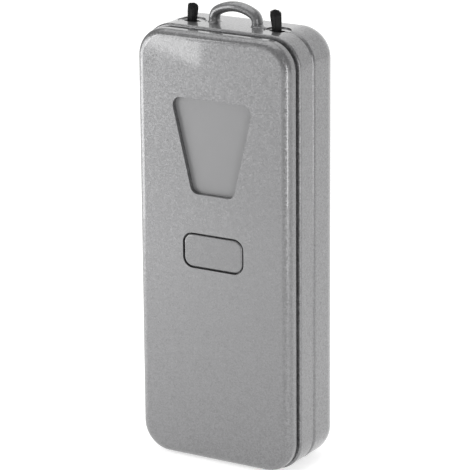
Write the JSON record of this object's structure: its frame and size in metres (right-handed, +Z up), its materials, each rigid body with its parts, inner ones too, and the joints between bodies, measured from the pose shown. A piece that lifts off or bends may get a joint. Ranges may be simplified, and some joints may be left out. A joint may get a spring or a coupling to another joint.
{
  "type": "wearable ioniser",
  "caption": "Wearable negative-ion air purifier: a slim upright clamshell case with brush emitters and a lanyard loop on top, a tapered window and a flush push button.",
  "frame": {"origin": "middle of the housing's footprint, on the surface that it stands on", "axes": "+Z up towards the emitters, the button face looks along -Y, +X to the right seen from the front of the button face"},
  "size_m": [0.032, 0.0172, 0.084],
  "materials": {
    "flake_plastic": "gloss clear coat over silver-grey flake",
    "window_plastic": "smooth satin",
    "button_plastic": "gloss clear coat over silver-grey flake",
    "diffuser_plastic": "translucent white",
    "carbon_fibre": "loose fibre bundle",
    "brass": "drawn",
    "holder_plastic": "moulded",
    "board_laminate": "glass-fibre laminate under solder mask",
    "chip_plastic": "moulded",
    "ceramic_body": "fired",
    "ferrite": "sintered",
    "led_body": "clear over phosphor",
    "connector_plastic": "moulded",
    "black_plastic": "moulded",
    "plated_steel": "nickel plated",
    "contact_metal": "gold flash",
    "battery_foil": "laminated pouch",
    "foam": "adhesive foam",
    "guard_tape": "polyimide tape",
    "red_insulation": "extruded",
    "black_insulation": "extruded",
    "white_insulation": "extruded silicone",
    "module_plastic": "moulded",
    "epoxy": "cast"
  },
  "bodies": {
    "housing": {"front_cover": "flake_plastic", "mid_frame": "flake_plastic", "back_cover": "flake_plastic", "lanyard_loop": "flake_plastic", "indicator_window": "window_plastic", "light_diffuser": "diffuser_plastic", "switch_body": "black_plastic", "switch_cover": "plated_steel", "main_board": "board_laminate", "status_leds": "led_body", "control_chip": "chip_plastic", "charging_chip": "chip_plastic", "capacitors": "ceramic_body", "resistors": "chip_plastic", "boost_inductor": "ferrite", "charging_socket_shell": "plated_steel", "charging_socket_tongue": "black_plastic", "charging_contacts": "contact_metal", "battery_cell": "battery_foil", "battery_pad": "foam", "battery_guard_board": "guard_tape", "battery_header": "connector_plastic", "battery_plug": "connector_plastic", "battery_lead_positive": "red_insulation", "battery_lead_negative": "black_insulation", "module_case": "module_plastic", "module_potting": "epoxy", "module_tape": "foam", "module_lead_positive": "red_insulation", "module_lead_negative": "black_insulation", "high_voltage_lead_left": "white_insulation", "high_voltage_lead_right": "white_insulation", "case_screws": "plated_steel", "brush_ferrule_left": "brass", "brush_ferrule_right": "brass", "brush_holder_left": "holder_plastic", "brush_holder_right": "holder_plastic", "carbon_brush_left": "carbon_fibre", "carbon_brush_right": "carbon_fibre"},
    "push_button": {"power_button": "button_plastic", "switch_plunger": "black_plastic"}
  },
  "joints": [
    {"name": "button_press", "type": "slide", "parent": "housing", "child": "push_button", "axis": [0, 1, 0], "range_m": [0, 0.0003], "stiffness_N_per_m": 1500}
  ]
}
